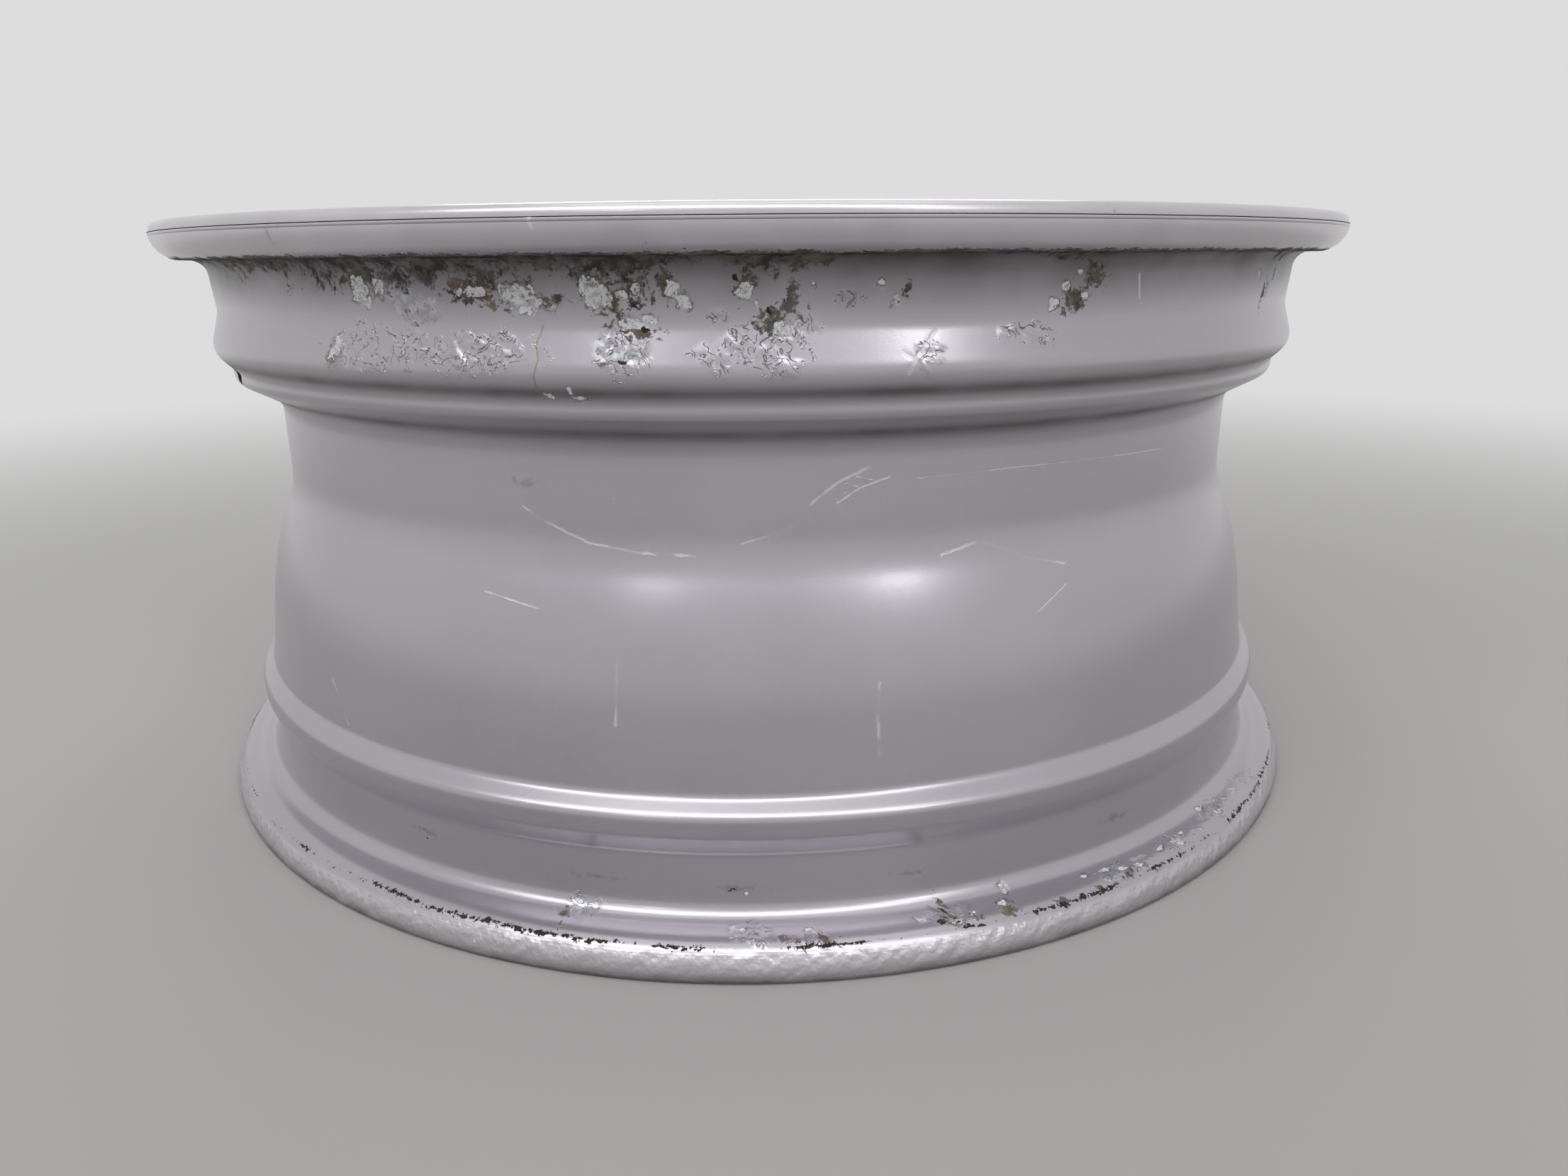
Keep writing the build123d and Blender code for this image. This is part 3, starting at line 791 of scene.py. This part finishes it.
# Colours of the paint, the dirt, the painted shade and the bare metal
PAINT_DARK = (0.430, 0.406, 0.447)
PAINT_LIGHT = (0.488, 0.463, 0.507)
BAND_PAINT = (0.69, 0.66, 0.69)
SHADE_AND_DIRT = (0.068, 0.066, 0.054)
PAINT_METALLIC = 0.78
PAINT_ROUGHNESS = 0.30
SMUDGE = (0.16, 0.14, 0.13)
LIFTED_PAINT = (0.30, 0.29, 0.31)
RUST_DARK = (0.10, 0.075, 0.05)
RUST_LIGHT = (0.27, 0.19, 0.12)
OXIDE_WHITE = (0.86, 0.86, 0.88)
OXIDE_GREY = (0.54, 0.54, 0.56)
RAW_DARK = (0.30, 0.31, 0.34)
RAW_LIGHT = (0.66, 0.67, 0.70)
DIRT_AND_SHADE_BLACK = (0.020, 0.018, 0.014)
GRIME_OLIVE = (0.120, 0.115, 0.085)
SCRATCH_PALE = (0.75, 0.74, 0.76)

# How ragged each kind of wear's edge is, and between which field values it sets in
EDGES = {
    "bare": (1.3, 0.05, 0.14),
    "raw": (1.3, 0.05, 0.14),
    "stained": (2.4, 0.10, 0.55),
    "rust": (1.6, 0.02, 0.35),
    "dark": (1.3, 0.05, 0.30),
    "grime": (1.5, 0.05, 0.50),
    "specked": (3.0, 0.28, 0.50),
    "lifted": (1.2, 0.0, 0.12),
    "smudged": (1.6, 0.1, 0.9),
}
LINE_WIDTH = 1.1
LINE_RAGGED = 1.6


def build_paint():
    """Silver paint with every kind of wear and painted shade, steered by the meshes' fields."""
    material = bpy.data.materials.new("silver_paint")
    material.use_nodes = True
    nodes, links = material.node_tree.nodes, material.node_tree.links
    nodes.clear()

    def node(kind, **values):
        made = nodes.new(kind)
        for key, value in values.items():
            setattr(made, key, value)
        return made

    def link(source, target):
        links.new(source, target)

    def number(target, value):
        if hasattr(value, "is_output"):
            link(value, target)
        else:
            target.default_value = value

    def combine(operation, a, b=0.0):
        made = node("ShaderNodeMath", operation=operation)
        number(made.inputs[0], a)
        number(made.inputs[1], b)
        return made.outputs[0]

    def field(name):
        return node("ShaderNodeAttribute", attribute_name=name).outputs["Fac"]

    def spots(scale, detail=2.0, roughness=0.5, distortion=0.0):
        made = node("ShaderNodeTexNoise")
        link(coordinates, made.inputs["Vector"])
        made.inputs["Scale"].default_value = scale
        made.inputs["Detail"].default_value = detail
        made.inputs["Roughness"].default_value = roughness
        made.inputs["Distortion"].default_value = distortion
        return made.outputs["Fac"]

    def between(value, low, high, out_low=0.0, out_high=1.0):
        made = node("ShaderNodeMapRange", clamp=True)
        number(made.inputs["Value"], value)
        made.inputs["From Min"].default_value = low
        made.inputs["From Max"].default_value = high
        made.inputs["To Min"].default_value = out_low
        made.inputs["To Max"].default_value = out_high
        return made.outputs["Result"]

    def mix(share, first, second):
        made = node("ShaderNodeMix", data_type="RGBA")
        number(made.inputs[0], share)
        for slot_index, value in ((6, first), (7, second)):
            if hasattr(value, "is_output"):
                link(value, made.inputs[slot_index])
            else:
                made.inputs[slot_index].default_value = (*value, 1)
        return made.outputs[2]

    def cover(below, share, weight, above):
        """A colour laid over another where its share says, never thicker than its weight."""
        return mix(combine("MULTIPLY", share, weight), below, above)

    def mix_number(share, first, second):
        made = node("ShaderNodeMix", data_type="FLOAT")
        number(made.inputs[0], share)
        number(made.inputs[2], first)
        number(made.inputs[3], second)
        return made.outputs[0]

    coordinates = node("ShaderNodeTexCoord").outputs["Object"]
    speckle = spots(900, 3.0, 0.6)
    middling = spots(430, 3.0, 0.6, 0.6)
    coarse = spots(220, 3.0, 0.6)
    patchy = spots(90, 2.0, 0.5)
    cloudy = spots(9, 3.0, 0.5)
    ragged = combine("SUBTRACT", combine("ADD", speckle, middling), 1.0)

    def edged(name, weight, low, high):
        """A field's mask with a ragged edge finer than the mesh."""
        return between(combine("ADD", combine("MULTIPLY", ragged, weight), field(name)), low, high)

    def lined(name, reach, weight):
        """Lines as wide as their side field says, where their distance field is below the reach."""
        side = combine("ADD", combine("MULTIPLY", ragged, weight), field(name + "_side"))
        inside = between(combine("ABSOLUTE", side), 0.7, 1.2, 1.0, 0.0)
        return combine("MULTIPLY", inside, between(field(name + "_away"), reach, reach + 0.5, 1.0, 0.0))

    def ridges(scale, width, distortion):
        """Thin wandering lines."""
        away = combine("ABSOLUTE", combine("SUBTRACT", spots(scale, 1.0, 0.5, distortion), 0.5))
        return between(away, 0.0, width, 1.0, 0.0)

    mask = {name: edged(name, *edge) for name, edge in EDGES.items()}
    unbroken = between(patchy, 0.42, 0.56, 0.12, 1.0)
    scratch_mask = combine("MULTIPLY", lined("scratch", LINE_WIDTH, LINE_RAGGED), unbroken)
    crack_mask = lined("crack", LINE_WIDTH, LINE_RAGGED)
    veins = combine("MULTIPLY", ridges(330, 0.035, 1.2), between(speckle, 0.42, 0.55))

    # Colour of the paint, a little uneven, then each kind of wear and the painted shade over it
    blotched = between(middling, 0.4, 0.6)
    colour = mix(between(cloudy, 0.3, 0.7), PAINT_DARK, PAINT_LIGHT)
    colour = mix(between(coarse, 0.35, 0.75, 0.0, 0.25), colour, PAINT_LIGHT)
    colour = cover(colour, field("pale"), 0.7, BAND_PAINT)
    # Painted shade under the outboard lip, in the grooves and along the foot, partly dirt
    colour = cover(colour, field("shade_and_dirt"), 0.93, SHADE_AND_DIRT)
    colour = cover(colour, mask["smudged"], 0.45, SMUDGE)
    colour = cover(colour, mask["lifted"], 0.6, mix(blotched, LIFTED_PAINT, OXIDE_GREY))
    stain = mix(between(coarse, 0.42, 0.58), GRIME_OLIVE, mix(blotched, RUST_LIGHT, DIRT_AND_SHADE_BLACK))
    colour = cover(colour, mask["stained"], 0.88, stain)
    colour = cover(colour, mask["rust"], 0.80, mix(coarse, RUST_DARK, RUST_LIGHT))
    grime = mix(between(coarse, 0.40, 0.60), DIRT_AND_SHADE_BLACK, GRIME_OLIVE)
    colour = cover(colour, mask["grime"], 0.90, grime)
    round_bare = combine("MULTIPLY", edged("bare", 1.6, -0.45, -0.10), between(coarse, 0.44, 0.54))
    colour = cover(colour, round_bare, 0.75, mix(between(speckle, 0.4, 0.6), RUST_DARK, GRIME_OLIVE))
    oxide = mix(between(middling, 0.38, 0.52), OXIDE_GREY, OXIDE_WHITE)
    colour = mix(mask["bare"], colour, mix(veins, oxide, RUST_DARK))
    colour = mix(mask["raw"], colour, mix(between(middling, 0.38, 0.62), RAW_DARK, RAW_LIGHT))
    # Dark spots of dirt, the black in the corner under the lip, and painted shade inside the valve hole
    colour = mix(mask["dark"], colour, DIRT_AND_SHADE_BLACK)
    colour = mix(mask["specked"], colour, DIRT_AND_SHADE_BLACK)
    colour = cover(colour, scratch_mask, 0.6, SCRATCH_PALE)
    colour = cover(colour, crack_mask, 0.55, RUST_LIGHT)

    dull = combine("MAXIMUM", mask["grime"], combine("MAXIMUM", mask["dark"], mask["specked"]))
    dull = combine("MAXIMUM", dull, mask["stained"])
    dull = combine("MAXIMUM", dull, combine("MULTIPLY", mask["rust"], 0.7))
    wear_and_shade = combine("MAXIMUM", dull, combine("MULTIPLY", mask["bare"], 0.85))
    wear_and_shade = combine("MAXIMUM", wear_and_shade, combine("MULTIPLY", field("shade_and_dirt"), 0.6))

    metallic = mix_number(wear_and_shade, PAINT_METALLIC, 0.0)
    metallic = mix_number(combine("MULTIPLY", field("pale"), 0.6), metallic, 0.35)
    smoothness = between(cloudy, 0.3, 0.7, PAINT_ROUGHNESS - 0.03, PAINT_ROUGHNESS + 0.04)
    roughness = mix_number(wear_and_shade, smoothness, 0.85)
    roughness = mix_number(combine("MULTIPLY", mask["raw"], 0.8), roughness, 0.42)
    roughness = mix_number(combine("MULTIPLY", field("band"), 0.6), roughness, 0.42)
    roughness = mix_number(combine("MULTIPLY", scratch_mask, 0.6), roughness, 0.6)

    # Fine relief in millimetres: metal flakes, orange peel, crust on dirt, oxide and painted shade,
    # crinkles
    flakes = spots(2600, 1.0, 0.5)
    peel = spots(420, 1.0, 0.4)
    crust = combine("MULTIPLY", wear_and_shade, speckle)
    relief = combine("MULTIPLY", flakes, 0.012)
    relief = combine("ADD", relief, combine("MULTIPLY", peel, 0.014))
    relief = combine("ADD", relief, combine("MULTIPLY", crust, 0.22))
    relief = combine("SUBTRACT", relief, combine("MULTIPLY", mask["bare"], 0.10))
    crinkles = combine("MULTIPLY", ridges(230, 0.035, 1.2), between(middling, 0.42, 0.56))
    crinkles = combine("MULTIPLY", crinkles, between(field("blistered"), -0.05, 0.20))
    relief = combine("ADD", relief, combine("MULTIPLY", crinkles, 0.34))
    hammered = combine("MULTIPLY", spots(400, 1.5, 0.5), field("band"))
    relief = combine("ADD", relief, combine("MULTIPLY", hammered, 0.5))
    relief = combine("SUBTRACT", relief, combine("MULTIPLY", scratch_mask, 0.05))
    bump = node("ShaderNodeBump")
    bump.inputs["Strength"].default_value = 1.0
    bump.inputs["Distance"].default_value = MM
    link(relief, bump.inputs["Height"])

    shader = node("ShaderNodeBsdfPrincipled")
    link(colour, shader.inputs["Base Color"])
    link(metallic, shader.inputs["Metallic"])
    link(roughness, shader.inputs["Roughness"])
    link(bump.outputs["Normal"], shader.inputs["Normal"])
    coat = mix_number(wear_and_shade, 0.45, 0.0)
    link(coat, shader.inputs["Coat Weight"])
    shader.inputs["Coat Roughness"].default_value = 0.16
    output = node("ShaderNodeOutputMaterial")
    link(shader.outputs["BSDF"], output.inputs["Surface"])
    return material


paint = build_paint()
for piece in (outboard_band, barrel, inboard_seat, inboard_band, centre):
    piece.data.materials.clear()
    piece.data.materials.append(paint)
    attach(piece, "root")
    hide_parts("wheel")


# Floor, light and camera
FLOOR_RADIUS = 7.0
FLOOR_DROP = 0.0002
FLOOR_COLOUR = (0.47, 0.465, 0.455)
FLOOR_ROUGHNESS = 0.8
FADE_START = 0.45
FADE_END = 1.6
BACKGROUND = (0.72, 0.72, 0.72)
WORLD_COLOUR = (0.60, 0.60, 0.61)
WORLD_STRENGTH = 0.56
LAMPS_AIM = 0.12

bpy.ops.mesh.primitive_circle_add(
    vertices=96, radius=FLOOR_RADIUS, fill_type="NGON", location=(0, 0, -FLOOR_DROP)
)
floor = bpy.context.object
floor.name = "studio_floor"
floor_material = bpy.data.materials.new("floor")
floor_material.use_nodes = True
floor_shader = floor_material.node_tree.nodes["Principled BSDF"]
floor_shader.inputs["Base Color"].default_value = (*FLOOR_COLOUR, 1)
floor_shader.inputs["Roughness"].default_value = FLOOR_ROUGHNESS
floor.data.materials.append(floor_material)
floor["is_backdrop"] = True


def seen_directly(tree):
    """One for camera rays and for the rays that metal and glass send on, zero for light on surfaces."""
    rays = tree.nodes.new("ShaderNodeLightPath")
    total = rays.outputs["Is Camera Ray"]
    for kind in ("Is Glossy Ray", "Is Transmission Ray"):
        larger = tree.nodes.new("ShaderNodeMath")
        larger.operation = "MAXIMUM"
        tree.links.new(total, larger.inputs[0])
        tree.links.new(rays.outputs[kind], larger.inputs[1])
        total = larger.outputs["Value"]
    return total


def fade_to_background(material, near_edge, far_edge):
    """The floor, as the camera and the metal see it, fades into the background away from the wheel."""
    nodes, links = material.node_tree.nodes, material.node_tree.links
    place = nodes.new("ShaderNodeTexCoord")
    far = nodes.new("ShaderNodeVectorMath")
    far.operation = "LENGTH"
    links.new(place.outputs["Object"], far.inputs[0])
    share = nodes.new("ShaderNodeMapRange")
    share.interpolation_type = "SMOOTHSTEP"
    share.inputs["From Min"].default_value = near_edge
    share.inputs["From Max"].default_value = far_edge
    links.new(far.outputs["Value"], share.inputs["Value"])
    both = nodes.new("ShaderNodeMath")
    both.operation = "MULTIPLY"
    links.new(share.outputs["Result"], both.inputs[0])
    links.new(seen_directly(material.node_tree), both.inputs[1])
    glow = nodes.new("ShaderNodeEmission")
    glow.inputs["Color"].default_value = (*BACKGROUND, 1)
    blend = nodes.new("ShaderNodeMixShader")
    links.new(both.outputs["Value"], blend.inputs["Fac"])
    links.new(nodes["Principled BSDF"].outputs["BSDF"], blend.inputs[1])
    links.new(glow.outputs["Emission"], blend.inputs[2])
    links.new(blend.outputs["Shader"], nodes["Material Output"].inputs["Surface"])


fade_to_background(floor_material, FADE_START, FADE_END)


def soft_light(name, azimuth, elevation, distance, size, power):
    """Oblong lamp that faces the wheel's middle from an azimuth and elevation in degrees."""
    lamp = bpy.data.lights.new(name, "AREA")
    lamp.shape = "RECTANGLE"
    lamp.size, lamp.size_y = size
    lamp.energy = power
    body = bpy.data.objects.new(name, lamp)
    a, e = radians(azimuth), radians(elevation)
    toward = Vector((sin(a) * cos(e), -cos(a) * cos(e), sin(e)))
    body.location = toward * distance + Vector((0, 0, LAMPS_AIM))
    body.rotation_euler = toward.to_track_quat("Z", "Y").to_euler()
    bpy.context.scene.collection.objects.link(body)


soft_light("key", -12, 50, 2.4, (3.4, 0.80), 28)
soft_light("lamp_left", -23.4, 27.7, 2.0, (0.18, 0.12), 0.7)
soft_light("lamp_right", 30.9, 26.8, 2.0, (0.24, 0.18), 1.6)
soft_light("top", 0, 88, 2.6, (2.2, 1.2), 8)
soft_light("rear", 180, 45, 3.0, (2.4, 1.2), 20)

world = bpy.data.worlds.new("studio")
bpy.context.scene.world = world
world.use_nodes = True
tree = world.node_tree
background = tree.nodes["Background"]
background.inputs["Color"].default_value = (*WORLD_COLOUR, 1)
background.inputs["Strength"].default_value = WORLD_STRENGTH
shown = tree.nodes.new("ShaderNodeBackground")
shown.inputs["Color"].default_value = (*BACKGROUND, 1)
shown.inputs["Strength"].default_value = 1.0
either = tree.nodes.new("ShaderNodeMixShader")
tree.links.new(seen_directly(tree), either.inputs["Fac"])
tree.links.new(background.outputs["Background"], either.inputs[1])
tree.links.new(shown.outputs["Background"], either.inputs[2])
tree.links.new(either.outputs["Shader"], tree.nodes["World Output"].inputs["Surface"])

# Camera of the photograph: focal length and width in pixels, turn in radians, place in metres
PICTURE_WIDTH = 2212
FOCAL_PIXELS = 1528.34
PITCH = 0.2948897
ROLL = -0.00827156
YAW = 0.0223947
CAMERA_PLACE = (0, -0.532842, 0.214634)
SENSOR_WIDTH = 36.0
camera_data = bpy.data.cameras.new("camera")
camera_data.sensor_width = SENSOR_WIDTH
camera_data.lens = FOCAL_PIXELS / PICTURE_WIDTH * SENSOR_WIDTH
camera_data.clip_start = 0.01
camera = bpy.data.objects.new("camera", camera_data)
bpy.context.scene.collection.objects.link(camera)
forward = Vector((sin(YAW) * cos(PITCH), cos(YAW) * cos(PITCH), -sin(PITCH)))
right = Vector((cos(YAW), -sin(YAW), 0))
up = right.cross(forward)
right_turned = right * cos(ROLL) + up * sin(ROLL)
up_turned = up * cos(ROLL) - right * sin(ROLL)
turn = Matrix((right_turned, up_turned, -forward)).transposed().to_4x4()
camera.matrix_world = Matrix.Translation(CAMERA_PLACE) @ turn
bpy.context.scene.camera = camera
bpy.context.scene.view_settings.view_transform = "Standard"

low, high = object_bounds()
